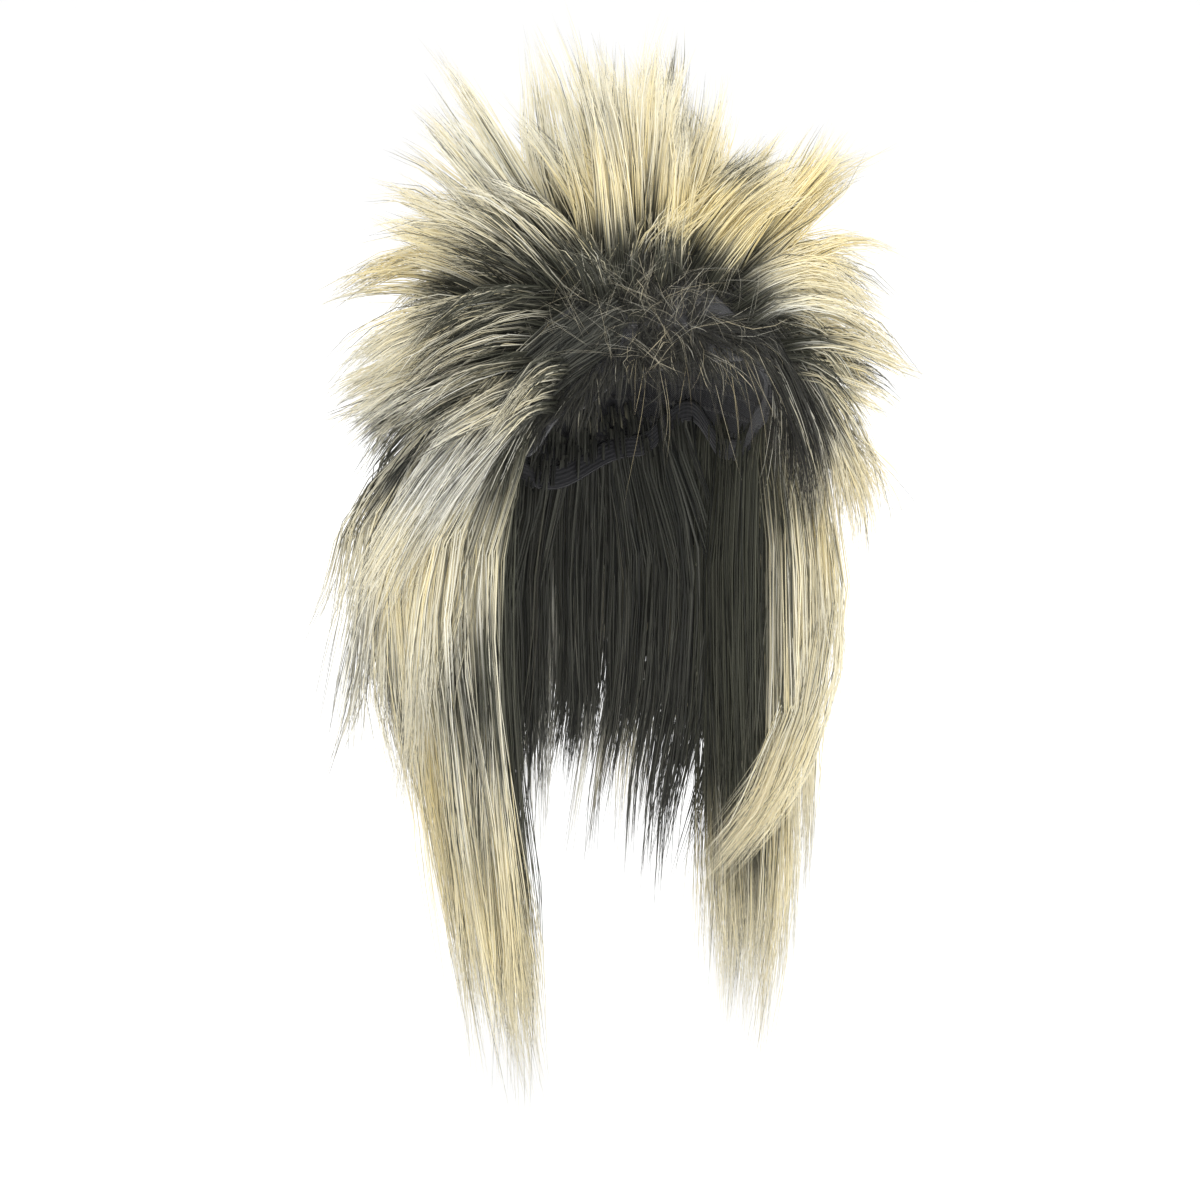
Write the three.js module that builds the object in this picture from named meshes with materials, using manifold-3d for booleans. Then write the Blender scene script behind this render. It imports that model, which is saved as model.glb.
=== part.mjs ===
// Mullet wig in frosted synthetic hair, in the form that it has on a head.
// Millimetres, +Z up. The wearer faces -Y, and the wearer's right is -X.
// The origin is the top of the head, at the inner face of the cap.

import * as THREE from 'three';
import { ParametricGeometry } from 'three/addons/geometries/ParametricGeometry.js';
import { mergeVertices } from 'three/addons/utils/BufferGeometryUtils.js';
import Module from 'manifold-3d';

// Head that the cap is cut for
const headHalfWidth = 76;
const headHalfDepth = 95;
const headRise = 95;
const napeTuck = 20;

// Cap and its elastic edge
const capWall = 1.6;
const bandWall = 1.4;
const bandWidth = 12;
const clearance = 0.35;

// Short hair on top: how deep the dense part is, how long its locks are, how far they are
// swept away from the whorl, how far they bend down, and how far they droop near the layer line
const crownDepth = 60;
const crownLength = 124;
const crownLockWidth = 19;
const crownSweep = 0.42;
const crownFall = 0.26;
const crownDroop = 0.56;

// Place near the hairline from which the short hair springs, how wide it lies flat there,
// and what share of its locks' length is lost there
const whorlX = -16;
const whorlY = -84;
const whorlZ = -34;
const whorlSpread = 62;
const whorlShortening = 0.6;

// Thin hair on the forehead and locks over the temples
const browDepth = 9;
const wispHalfSpan = 42;
const wispLength = 78;
const wispWidth = 2.6;
const templeBackEdge = -20;
const templeBackLevel = -190;
const templeBackSlope = 0.22;
const rightTempleLength = 156;
const leftTempleLength = 126;
const rightTempleSweep = 0.24;
const leftTempleSweep = 0;
const templeLockWidth = 13;

// Long hair over the ears, from its top down to its tips
const sideTop = -62;
const rightSideLength = 368;
const leftSideLength = 398;
const rightSideForward = 26;
const leftSideForward = 8;
const sideHalfThickness = 24;
const sideHalfWidth = 33;
const sideLockLength = 120;
const sideLockWidth = 13;

// Long hair at the back, from its top down to its tips
const backFrontEdge = 44;
const backTop = -66;
const backLength = 345;
const backHalfWidth = 141;
const backDepth = 160;
const backLockLength = 130;
const backLockWidth = 19;

// Past the reach of any hair
const farOut = 3 * (backLength + backHalfWidth);

// Facets: sides round the head and steps down it, and the same for a lock
const headSides = 28;
const headSteps = 6;
const lockSides = 4;
const lockSteps = 4;

// Rim of the cap: angle from the face, drop below the top as a share of headRise
const rimLine = [
  { angle: 0, drop: 0.53 },
  { angle: 30, drop: 0.57 },
  { angle: 55, drop: 0.8 },
  { angle: 74, drop: 1.1 },
  { angle: 86, drop: 1.36 },
  { angle: 98, drop: 1.38 },
  { angle: 114, drop: 1.2 },
  { angle: 140, drop: 1.44 },
  { angle: 180, drop: 1.6 },
];

// Line where the short hair ends and the hair below it starts: slope is the fall of that line outwards
const layerLine = [
  { angle: 0, drop: 0.37, slope: 0.1 },
  { angle: 40, drop: 0.46, slope: 0.65 },
  { angle: 70, drop: 0.58, slope: 1.15 },
  { angle: 120, drop: 0.66, slope: 1.1 },
  { angle: 180, drop: 0.7, slope: 1.05 },
];

// Rows of locks on top: share of the way from the top to the layer line
const crownRows = [
  { share: 0.06, locks: 4, length: 0.96, width: 1.1 },
  { share: 0.24, locks: 7, length: 1, width: 1.1 },
  { share: 0.42, locks: 11, length: 1, width: 1.05 },
  { share: 0.6, locks: 14, length: 0.96, width: 1 },
  { share: 0.77, locks: 17, length: 0.92, width: 1 },
  { share: 0.92, locks: 18, length: 0.88, width: 1 },
];

// Locks over a temple: angle from the face, and how they lean while they fall
const templeLocks = [
  { angle: 38, drop: 0.5, length: 0.92, out: 0.3, back: 0.16 },
  { angle: 43, drop: 0.52, length: 1, out: 0.36, back: 0.2 },
  { angle: 48, drop: 0.58, length: 0.98, out: 0.42, back: 0.2 },
  { angle: 53, drop: 0.6, length: 0.9, out: 0.5, back: 0.16 },
  { angle: 58, drop: 0.68, length: 0.86, out: 0.52, back: 0.14 },
  { angle: 63, drop: 0.72, length: 0.8, out: 0.6, back: 0.08 },
  { angle: 67, drop: 0.8, length: 0.76, out: 0.66, back: 0.04 },
  { angle: 71, drop: 0.86, length: 0.7, out: 0.72, back: 0 },
];

// Thin locks on the forehead: place is a share of wispHalfSpan, lean is towards the wearer's left
const wisps = [
  { place: -0.85, length: 1, lean: -0.3 },
  { place: -0.66, length: 0.8, lean: -0.22 },
  { place: -0.45, length: 0.95, lean: -0.16 },
  { place: -0.22, length: 0.7, lean: -0.08 },
  { place: 0.02, length: 1.05, lean: 0 },
  { place: 0.22, length: 0.75, lean: 0.1 },
  { place: 0.45, length: 0.9, lean: 0.04 },
  { place: 0.66, length: 0.72, lean: 0.16 },
  { place: 0.85, length: 1, lean: 0.1 },
];

// Sections of the hair over an ear: down is a share of its length, out of headHalfWidth,
// back of headHalfDepth, ahead of the named forward reach, thick and wide of the half sizes
const sideSections = [
  { down: 0, out: 1.16, back: 0.11, ahead: 0, thick: 0.5, wide: 0.8 },
  { down: 0.12, out: 1.27, back: 0.11, ahead: 0, thick: 0.86, wide: 1 },
  { down: 0.34, out: 1.31, back: 0.1, ahead: 0.05, thick: 1, wide: 1 },
  { down: 0.56, out: 1.28, back: 0.06, ahead: 0.3, thick: 0.92, wide: 0.95 },
  { down: 0.76, out: 1.18, back: 0, ahead: 0.65, thick: 0.72, wide: 0.84 },
  { down: 0.9, out: 1.06, back: 0, ahead: 0.9, thick: 0.5, wide: 0.64 },
  { down: 0.97, out: 1, back: 0, ahead: 1, thick: 0.2, wide: 0.36 },
];

// Rows of locks on the hair over an ear
const sideRows = [
  { down: 0.12, locks: 3, length: 1, flare: 0.2 },
  { down: 0.28, locks: 3, length: 1.05, flare: 0.16 },
  { down: 0.44, locks: 3, length: 1, flare: 0.12 },
  { down: 0.6, locks: 3, length: 0.95, flare: 0.08 },
  { down: 0.73, locks: 4, length: 0.9, flare: 0.04 },
];

// Sections of the hair at the back: down is a share of its length,
// inner and outer of backHalfWidth and backDepth
const backSections = [
  { down: 0, innerWide: 0.5, innerDeep: 0.5, outerWide: 0.84, outerDeep: 0.84 },
  { down: 0.15, innerWide: 0.5, innerDeep: 0.56, outerWide: 0.97, outerDeep: 0.98 },
  { down: 0.38, innerWide: 0.55, innerDeep: 0.6, outerWide: 1, outerDeep: 1 },
  { down: 0.6, innerWide: 0.52, innerDeep: 0.6, outerWide: 0.86, outerDeep: 0.96 },
  { down: 0.8, innerWide: 0.42, innerDeep: 0.62, outerWide: 0.68, outerDeep: 0.9 },
  { down: 0.96, innerWide: 0.44, innerDeep: 0.68, outerWide: 0.5, outerDeep: 0.78 },
];

// Rows of locks at the back: spread is how far round the row goes to each side of the nape, in degrees
const backRows = [
  { down: 0.08, locks: 7, spread: 66, length: 0.95, flare: 0.3 },
  { down: 0.26, locks: 6, spread: 66, length: 1, flare: 0.22 },
  { down: 0.43, locks: 7, spread: 66, length: 1, flare: 0.14 },
  { down: 0.6, locks: 6, spread: 64, length: 1, flare: 0.08 },
  { down: 0.78, locks: 7, spread: 62, length: 0.82, flare: 0.02 },
];

const wasm = await Module();
wasm.setup();

const upward = new THREE.Vector3(0, 0, 1);

// A value between the rows of a table, eased from row to row
function between(table, key, place, column) {
  const after = table.findIndex((row) => row[key] >= place);
  if (after === 0) return table[0][column];
  if (after < 0) return table[table.length - 1][column];
  const low = table[after - 1];
  const high = table[after];
  const share = (place - low[key]) / (high[key] - low[key]);
  const eased = share * share * (3 - 2 * share);
  return low[column] + (high[column] - low[column]) * eased;
}

// A steady scattered number between -1 and 1 for a lock and a use of it
function scatter(index, use) {
  const wave = Math.sin(index * 12.9898 + use * 78.233) * 43758.5453;
  return 2 * (wave - Math.floor(wave)) - 1;
}

// Angles round the head are 0 at the face and grow towards the wearer's left
function tableAngle(angle) {
  const degrees = Math.abs(THREE.MathUtils.radToDeg(angle)) % 360;
  return degrees > 180 ? 360 - degrees : degrees;
}

// Drops down the head follow its curve: equal turns are equal steps along it
function turnOf(drop) {
  return drop < headRise ? Math.acos(1 - drop / headRise) : Math.PI / 2 + drop / headRise - 1;
}

function dropOf(turn) {
  return turn < Math.PI / 2 ? headRise * (1 - Math.cos(turn)) : headRise * (1 + turn - Math.PI / 2);
}

function headNormal(angle, drop) {
  const level = Math.min(drop / headRise, 1);
  const round = Math.sqrt(1 - (1 - level) ** 2);
  const side = (round * Math.sin(angle)) / headHalfWidth;
  const front = (-round * Math.cos(angle)) / headHalfDepth;
  return new THREE.Vector3(side, front, (1 - level) / headRise).normalize();
}

// A point on the head form, moved out by an offset
function headPoint(angle, drop, offset) {
  const level = Math.min(drop / headRise, 1);
  const round = Math.sqrt(1 - (1 - level) ** 2);
  const below = Math.max(drop / headRise - 1, 0);
  const tuck = napeTuck * below * (1 - Math.cos(angle));
  const x = (headHalfWidth * round - tuck * 0.2) * Math.sin(angle);
  const y = -(headHalfDepth * round - tuck) * Math.cos(angle);
  return new THREE.Vector3(x, y, -drop).addScaledVector(headNormal(angle, drop), offset);
}

function rimDrop(angle) {
  return headRise * between(rimLine, 'angle', tableAngle(angle), 'drop');
}

function layerDrop(angle) {
  return headRise * between(layerLine, 'angle', tableAngle(angle), 'drop');
}

// Rows of the cap from its top to its rim: the last row is the width of the band
function capDrop(angle, row) {
  const rim = rimDrop(angle);
  if (row === headSteps) return rim;
  return dropOf((turnOf(rim - bandWidth) * row) / (headSteps - 1));
}

// A closed skin over a grid: across goes round, along goes from end to end
function closedGrid(point, across, along) {
  const grid = new ParametricGeometry((u, v, target) => target.copy(point(u, v)), across, along);
  grid.deleteAttribute('normal');
  grid.deleteAttribute('uv');
  const merged = mergeVertices(grid, 1e-3);
  const corners = merged.index.array;
  const kept = [];
  for (let i = 0; i < corners.length; i += 3) {
    const [a, b, c] = corners.slice(i, i + 3);
    if (a !== b && b !== c && c !== a) kept.push(a, b, c);
  }
  merged.setIndex(kept);
  return merged;
}

function signedVolume(geometry) {
  const places = geometry.attributes.position;
  const corners = geometry.index.array;
  const [a, b, c] = [new THREE.Vector3(), new THREE.Vector3(), new THREE.Vector3()];
  let volume = 0;
  for (let i = 0; i < corners.length; i += 3) {
    a.fromBufferAttribute(places, corners[i]);
    b.fromBufferAttribute(places, corners[i + 1]);
    c.fromBufferAttribute(places, corners[i + 2]);
    volume += a.dot(b.cross(c)) / 6;
  }
  return volume;
}

// A closed skin as a solid for joining and cutting, with its faces turned outwards
function solid(geometry) {
  const triVerts = Uint32Array.from(geometry.index.array);
  if (signedVolume(geometry) < 0) triVerts.reverse();
  const vertProperties = Float32Array.from(geometry.attributes.position.array);
  return new wasm.Manifold(new wasm.Mesh({ numProp: 3, vertProperties, triVerts }));
}

function block(low, high) {
  const box = new THREE.BoxGeometry(high[0] - low[0], high[1] - low[1], high[2] - low[2]);
  box.translate((high[0] + low[0]) / 2, (high[1] + low[1]) / 2, (high[2] + low[2]) / 2);
  box.deleteAttribute('normal');
  box.deleteAttribute('uv');
  return solid(mergeVertices(box, 1e-3));
}

// Room ahead of the slanting plane behind the temples, on one side of the head or on both
function frontRoom(moved) {
  const box = new THREE.BoxGeometry(2 * farOut, farOut, 2 * farOut);
  box.translate(0, -farOut / 2, 0);
  box.rotateX(-Math.atan(templeBackSlope));
  box.translate(0, templeBackEdge + moved, templeBackLevel);
  box.deleteAttribute('normal');
  box.deleteAttribute('uv');
  return solid(mergeVertices(box, 1e-3));
}

function joined(solids) {
  return solids.reduce((whole, piece) => whole.add(piece));
}

function geometryOf(whole) {
  const mesh = whole.getMesh();
  const geometry = new THREE.BufferGeometry();
  geometry.setAttribute('position', new THREE.BufferAttribute(mesh.vertProperties, 3));
  geometry.setIndex(new THREE.BufferAttribute(mesh.triVerts, 1));
  geometry.computeVertexNormals();
  return geometry;
}

// One lock: a flat strip with four sides that narrows to a point and falls away from its heading
function lock(root, heading, length, fall, width) {
  const ahead = heading.clone().normalize();
  const across = new THREE.Vector3().crossVectors(ahead, upward);
  if (across.length() < 0.1) across.set(1, 0, 0);
  across.normalize();
  const flat = new THREE.Vector3().crossVectors(across, ahead);
  const full = 1 / lockSteps;
  return solid(closedGrid((u, v) => {
    const half = width * Math.min(v / full, ((1 - v) / (1 - full)) ** 0.8);
    const turn = 2 * Math.PI * u;
    return root.clone()
      .addScaledVector(ahead, length * v)
      .addScaledVector(upward, -fall * v * v)
      .addScaledVector(across, half * Math.cos(turn))
      .addScaledVector(flat, 0.4 * half * Math.sin(turn));
  }, lockSides, lockSteps));
}

// Room that the cap takes up, with a clearance: it is cut out of all hair
function headRoom() {
  const rows = headSteps + 1;
  return solid(closedGrid((u, v) => {
    const angle = 2 * Math.PI * u;
    const row = rows - Math.round(v * rows);
    if (row > headSteps) return new THREE.Vector3(0, 0, -rimDrop(Math.PI) - napeTuck);
    return headPoint(angle, capDrop(angle, row), capWall + clearance);
  }, headSides, rows));
}

// Room below the layer line, out to where no hair reaches
function lowerRoom(lowered) {
  return solid(closedGrid((u, v) => {
    const angle = 2 * Math.PI * u;
    const row = Math.round(v * 4);
    const edge = headPoint(angle, layerDrop(angle), 0);
    const out = new THREE.Vector3(edge.x, edge.y, 0);
    if (row === 0) return new THREE.Vector3(0, 0, -layerDrop(Math.PI / 2) - lowered);
    if (row === 1) return edge.setZ(edge.z - lowered);
    const slope = between(layerLine, 'angle', tableAngle(angle), 'slope');
    const far = out.clone().setLength(farOut / 2);
    if (row === 2) return far.setZ(edge.z - lowered - slope * (farOut / 2 - out.length()));
    if (row === 3) return far.setZ(-farOut);
    return new THREE.Vector3(0, 0, -farOut);
  }, headSides, 4));
}

function capShell() {
  const rows = 2 * headSteps + 1;
  return solid(closedGrid((u, v) => {
    const angle = 2 * Math.PI * u;
    const row = Math.round(v * rows);
    const inside = row <= headSteps;
    return headPoint(angle, capDrop(angle, inside ? row : rows - row), inside ? 0 : capWall);
  }, headSides, rows));
}

function edgeBand() {
  return solid(closedGrid((u, v) => {
    const angle = 2 * Math.PI * u;
    const corner = Math.round(v * 4) % 4;
    const row = corner === 0 || corner === 3 ? headSteps - 1 : headSteps;
    const offset = corner < 2 ? -clearance : -clearance - bandWall;
    return headPoint(angle, capDrop(angle, row), offset);
  }, headSides, 4));
}

// How flat the hair lies at a place: 1 at the whorl, 0 far from it
function flatness(place) {
  const away = place.distanceTo(new THREE.Vector3(whorlX, whorlY, whorlZ));
  return Math.exp(-((away / whorlSpread) ** 2));
}

function crownThickness(angle, drop) {
  const place = headPoint(angle, drop, 0);
  return crownDepth * (1 - 0.84 * flatness(place));
}

// A point in the short hair, which sags towards the layer line:
// fill is 0 on the head and 1 on its outer face
function crownPoint(angle, drop, share, fill) {
  const depth = fill * crownThickness(angle, drop);
  const slope = between(layerLine, 'angle', tableAngle(angle), 'slope');
  return headPoint(angle, drop, depth).addScaledVector(upward, -slope * depth * share ** 3);
}

function crownHair(rooms) {
  const rows = 14;
  const backing = solid(closedGrid((u, v) => {
    const angle = 2 * Math.PI * u;
    const row = Math.round(v * rows);
    const inside = row < rows / 2;
    const share = inside ? row / (rows / 2 - 1) : (rows - row) / (rows / 2);
    const drop = dropOf(turnOf(layerDrop(angle)) * share);
    return inside ? headPoint(angle, drop, 0) : crownPoint(angle, drop, share, 1);
  }, headSides, rows));
  const whorl = new THREE.Vector3(whorlX, whorlY, whorlZ);
  const centre = new THREE.Vector3(0, -headHalfDepth * 0.2, -headRise * 0.9);
  const locks = [];
  let index = 0;
  for (const row of crownRows) {
    for (let i = 0; i < row.locks; i += 1) {
      index += 1;
      const angle = (2 * Math.PI * (i + 0.5 + 0.3 * scatter(index, 1))) / row.locks;
      const share = Math.min(row.share + 0.05 * scatter(index, 2), 0.94);
      const drop = dropOf(turnOf(layerDrop(angle)) * Math.max(share, 0.02));
      const depth = crownThickness(angle, drop);
      const root = crownPoint(angle, drop, share, 0.45);
      const away = root.clone().sub(whorl).normalize();
      const heading = root.clone().sub(centre).normalize().addScaledVector(away, crownSweep);
      heading.x += 0.16 * scatter(index, 3);
      heading.z += 0.1 * scatter(index, 4);
      heading.z -= crownDroop * share ** 3 * between(layerLine, 'angle', tableAngle(angle), 'slope');
      const kept = 1 - whorlShortening * flatness(root);
      const full = crownLength * row.length * kept * (1 + 0.1 * scatter(index, 5));
      const length = full - 0.4 * depth;
      locks.push(lock(root, heading, length, crownFall * length * share ** 2, crownLockWidth * row.width));
    }
  }
  return joined([backing, ...locks]).subtract(rooms.head).subtract(rooms.lower);
}

// Hair sewn along the front rim: a flat ring of it, from the layer line down to the rim
function browRing() {
  return solid(closedGrid((u, v) => {
    const angle = 2 * Math.PI * u;
    const corner = Math.round(v * 4) % 4;
    const drop = corner === 0 || corner === 3 ? rimDrop(angle) : layerDrop(angle) - bandWidth / 2;
    return headPoint(angle, drop, corner < 2 ? 0 : capWall + browDepth * (corner === 2 ? 1 : 0.7));
  }, headSides, 4));
}

function foreheadWisps(rooms) {
  const locks = wisps.map((wisp, index) => {
    const angle = Math.asin((wisp.place * wispHalfSpan) / headHalfWidth);
    const root = headPoint(angle, layerDrop(angle) + 0.4 * bandWidth, capWall + 0.4 * browDepth);
    const heading = new THREE.Vector3(wisp.lean, -0.42 + 0.05 * scatter(index, 1), -0.85);
    const length = wispLength * wisp.length;
    return lock(root, heading, length, 0.16 * length, wispWidth);
  });
  const span = block([-wispHalfSpan, -farOut, -farOut], [wispHalfSpan, 0, 0]);
  const backing = browRing().intersect(span);
  return joined([backing, ...locks]).intersect(span).subtract(rooms.head).intersect(rooms.under);
}

function templeHair(side, fullLength, sweep, rooms) {
  const locks = templeLocks.map((row, index) => {
    const angle = side * THREE.MathUtils.degToRad(row.angle);
    const root = headPoint(angle, row.drop * headRise, capWall + 0.5 * browDepth);
    const heading = new THREE.Vector3(side * row.out, row.back + sweep, -0.9);
    const width = templeLockWidth * (1 + 0.15 * scatter(index, 2));
    return lock(root, heading, fullLength * row.length, 0.06 * fullLength, width);
  });
  const near = wispHalfSpan + clearance;
  const middle = block([-near, -farOut, -farOut], [near, farOut, farOut]);
  const half = side < 0
    ? block([-farOut, -farOut, -farOut], [0, farOut, 0])
    : block([0, -farOut, -farOut], [farOut, farOut, 0]);
  const room = half.subtract(middle).intersect(rooms.front);
  return joined([browRing().intersect(room), ...locks])
    .intersect(room).subtract(rooms.head).intersect(rooms.under);
}

// Centre of the hair over an ear at a share of its length
function sideCentre(side, fullLength, forward, down) {
  const x = side * headHalfWidth * between(sideSections, 'down', down, 'out');
  const back = headHalfDepth * between(sideSections, 'down', down, 'back');
  const y = back - forward * between(sideSections, 'down', down, 'ahead');
  return new THREE.Vector3(x, y, sideTop - fullLength * down);
}

function sideHair(side, fullLength, forward, rooms) {
  const rows = sideSections.length + 1;
  const last = sideSections[sideSections.length - 1];
  const backing = solid(closedGrid((u, v) => {
    const row = Math.round(v * rows);
    const end = row === 0 || row === rows;
    const section = sideSections[THREE.MathUtils.clamp(row - 1, 0, sideSections.length - 1)];
    const centre = sideCentre(side, fullLength, forward, section.down);
    if (end) return centre;
    const turn = 2 * Math.PI * u;
    centre.x += side * sideHalfThickness * section.thick * Math.cos(turn);
    centre.y += sideHalfWidth * section.wide * Math.sin(turn);
    return centre;
  }, 12, rows));
  const locks = [];
  let index = side < 0 ? 100 : 200;
  for (const row of sideRows) {
    for (let i = 0; i < row.locks; i += 1) {
      index += 1;
      const across = (i + 0.5) / row.locks * 2 - 1;
      const down = row.down + 0.03 * scatter(index, 1);
      const thick = sideHalfThickness * between(sideSections, 'down', down, 'thick');
      const wide = sideHalfWidth * between(sideSections, 'down', down, 'wide');
      const root = sideCentre(side, fullLength, forward, down);
      root.x += side * thick * 0.62 * Math.cos(across);
      root.y += wide * 0.8 * across;
      const length = sideLockLength * row.length * (1 + 0.12 * scatter(index, 2));
      const end = Math.min(down + length / fullLength, last.down);
      const target = sideCentre(side, fullLength, forward, end);
      const shrink = between(sideSections, 'down', down + length / fullLength, 'wide');
      target.x += side * (thick * 0.5 + length * row.flare);
      target.y += sideHalfWidth * shrink * (across + 0.2 * scatter(index, 3));
      target.z = root.z - length;
      locks.push(lock(root, target.sub(root), length, 0, sideLockWidth));
    }
  }
  const room = block([-farOut, -farOut, -farOut], [farOut, backFrontEdge - clearance, 0]);
  return joined([backing, ...locks])
    .intersect(room).subtract(rooms.frontCleared).subtract(rooms.head).intersect(rooms.under);
}

// A point in the hair at the back: angle 0 is the nape, fill 0 is its inner face and 1 its outer face
function backPoint(angle, down, fill) {
  const wide = THREE.MathUtils.lerp(
    between(backSections, 'down', down, 'innerWide'),
    between(backSections, 'down', down, 'outerWide'),
    fill,
  );
  const deep = THREE.MathUtils.lerp(
    between(backSections, 'down', down, 'innerDeep'),
    between(backSections, 'down', down, 'outerDeep'),
    fill,
  );
  const x = backHalfWidth * wide * Math.sin(angle);
  const y = backDepth * deep * Math.cos(angle);
  return new THREE.Vector3(x, y, backTop - backLength * down);
}

function backHair(rooms) {
  const rows = 2 * backSections.length;
  const backing = solid(closedGrid((u, v) => {
    const angle = 2 * Math.PI * u;
    const row = Math.round(v * rows) % rows;
    const outside = row < backSections.length;
    const section = backSections[outside ? row : rows - 1 - row];
    return backPoint(angle, section.down, outside ? 1 : 0);
  }, headSides, rows));
  const locks = [];
  let index = 300;
  for (const row of backRows) {
    for (let i = 0; i < row.locks; i += 1) {
      index += 1;
      const place = ((i + 0.5) / row.locks) * 2 - 1;
      const angle = THREE.MathUtils.degToRad(row.spread) * (place + 0.06 * scatter(index, 1));
      const down = row.down + 0.03 * scatter(index, 2);
      const root = backPoint(angle, down, 0.72);
      const length = backLockLength * row.length * (1 + 0.12 * scatter(index, 3));
      const target = backPoint(angle, Math.min(down + length / backLength, 1), 0.8);
      target.x += length * row.flare * Math.sin(angle);
      target.y += length * row.flare * Math.cos(angle);
      target.z = root.z - length;
      locks.push(lock(root, target.sub(root), length, 0, backLockWidth));
    }
  }
  const room = block([-farOut, backFrontEdge, -farOut], [farOut, farOut, 0]);
  return joined([backing, ...locks])
    .intersect(room).subtract(rooms.head).intersect(rooms.under);
}

const netBlack = new THREE.MeshStandardMaterial({ color: 0x26272b, roughness: 0.9, metalness: 0 });
const elasticBlack = new THREE.MeshStandardMaterial({ color: 0x1c1c1f, roughness: 0.85, metalness: 0 });
const blondHair = new THREE.MeshStandardMaterial({ color: 0xd9c99c, roughness: 0.5, metalness: 0 });
const rootHair = new THREE.MeshStandardMaterial({ color: 0x5a5a52, roughness: 0.55, metalness: 0 });
const silverHair = new THREE.MeshStandardMaterial({ color: 0xb9b6aa, roughness: 0.5, metalness: 0 });

const wig = new THREE.Group();

function addPiece(name, whole, material) {
  const piece = new THREE.Mesh(geometryOf(whole), material);
  piece.name = name;
  wig.add(piece);
}

const rooms = {
  head: headRoom(),
  lower: lowerRoom(0),
  under: lowerRoom(clearance),
  front: frontRoom(0),
  frontCleared: frontRoom(clearance),
};
addPiece('cap', capShell(), netBlack);
addPiece('edge_band', edgeBand(), elasticBlack);
addPiece('crown_hair', crownHair(rooms), blondHair);
addPiece('forehead_wisps', foreheadWisps(rooms), rootHair);
addPiece('right_temple_hair', templeHair(-1, rightTempleLength, rightTempleSweep, rooms), silverHair);
addPiece('left_temple_hair', templeHair(1, leftTempleLength, leftTempleSweep, rooms), rootHair);
addPiece('right_side_hair', sideHair(-1, rightSideLength, rightSideForward, rooms), blondHair);
addPiece('left_side_hair', sideHair(1, leftSideLength, leftSideForward, rooms), blondHair);
addPiece('back_hair', backHair(rooms), silverHair);

export default wig;
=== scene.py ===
# Mullet wig in frosted synthetic hair, as it hangs when it is worn.
# Metres, +Z up. The wearer faces -Y and the origin is the top of the head, at the inner face of the cap.
import math

import bmesh
import bpy
import numpy as np
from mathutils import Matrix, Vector


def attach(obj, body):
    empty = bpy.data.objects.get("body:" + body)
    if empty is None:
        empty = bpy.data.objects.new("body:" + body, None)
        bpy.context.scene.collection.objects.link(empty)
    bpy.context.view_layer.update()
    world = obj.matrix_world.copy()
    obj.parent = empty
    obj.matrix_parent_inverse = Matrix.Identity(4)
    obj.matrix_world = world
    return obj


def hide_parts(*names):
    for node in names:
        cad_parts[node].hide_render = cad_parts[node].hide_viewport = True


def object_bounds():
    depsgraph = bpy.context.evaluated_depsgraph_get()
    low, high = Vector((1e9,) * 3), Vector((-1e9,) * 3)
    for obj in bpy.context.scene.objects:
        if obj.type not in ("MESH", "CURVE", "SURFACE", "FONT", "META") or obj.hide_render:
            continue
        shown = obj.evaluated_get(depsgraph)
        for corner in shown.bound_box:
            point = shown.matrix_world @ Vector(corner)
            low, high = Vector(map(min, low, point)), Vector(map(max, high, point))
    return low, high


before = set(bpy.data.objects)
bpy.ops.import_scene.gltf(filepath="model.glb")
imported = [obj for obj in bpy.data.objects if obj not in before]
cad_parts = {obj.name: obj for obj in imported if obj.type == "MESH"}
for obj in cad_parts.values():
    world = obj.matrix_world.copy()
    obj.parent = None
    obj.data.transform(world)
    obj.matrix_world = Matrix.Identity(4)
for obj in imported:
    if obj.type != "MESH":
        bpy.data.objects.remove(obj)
cad_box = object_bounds()


# Cap
# The cap is a stretch net sewn to the shape of a head. Rows of weft, which the fibres hang from,
# are sewn round it a finger's width apart. It is open at the face and the neck.

mm = 0.001
head_half_width = 76 * mm
head_half_depth = 95 * mm
head_rise = 95 * mm
nape_tuck = 20 * mm
cap_wall = 1.6 * mm
band_width = 12 * mm
weft_spacing = 11 * mm
net_pitch = 2.4 * mm
stitch_length = 3 * mm
stitch_wave = 4 * mm
cap_radius = 85 * mm  # mean radius, for the map of its cloth

# Rim of the cap: degrees from the face, and drop below the top as a share of head_rise
rim_angles = (0, 30, 55, 74, 86, 98, 114, 140, 180)
rim_drops = (0.53, 0.57, 0.8, 1.1, 1.36, 1.38, 1.2, 1.44, 1.6)


def eased(place, places, values):
    """A value between the entries of two lists, eased from one to the next."""
    places = np.asarray(places, float)
    values = np.asarray(values, float)
    place = np.clip(place, places[0], places[-1])
    after = np.clip(np.searchsorted(places, place), 1, len(places) - 1)
    share = (place - places[after - 1]) / (places[after] - places[after - 1])
    share = share * share * (3 - 2 * share)
    return values[after - 1] + (values[after] - values[after - 1]) * share


def from_face(angle):
    """Degrees from the face to either side, 0 to 180."""
    degrees = np.abs(np.degrees(angle)) % 360
    return np.where(degrees > 180, 360 - degrees, degrees)


def rim_drop(angle):
    return head_rise * eased(from_face(angle), rim_angles, rim_drops)


def head_normal(angle, drop):
    level = np.minimum(drop / head_rise, 1)
    ring = np.sqrt(1 - (1 - level) ** 2)
    normal = np.stack([ring * np.sin(angle) / head_half_width,
                       -ring * np.cos(angle) / head_half_depth,
                       (1 - level) / head_rise], -1)
    return normal / np.linalg.norm(normal, axis=-1, keepdims=True)


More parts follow.
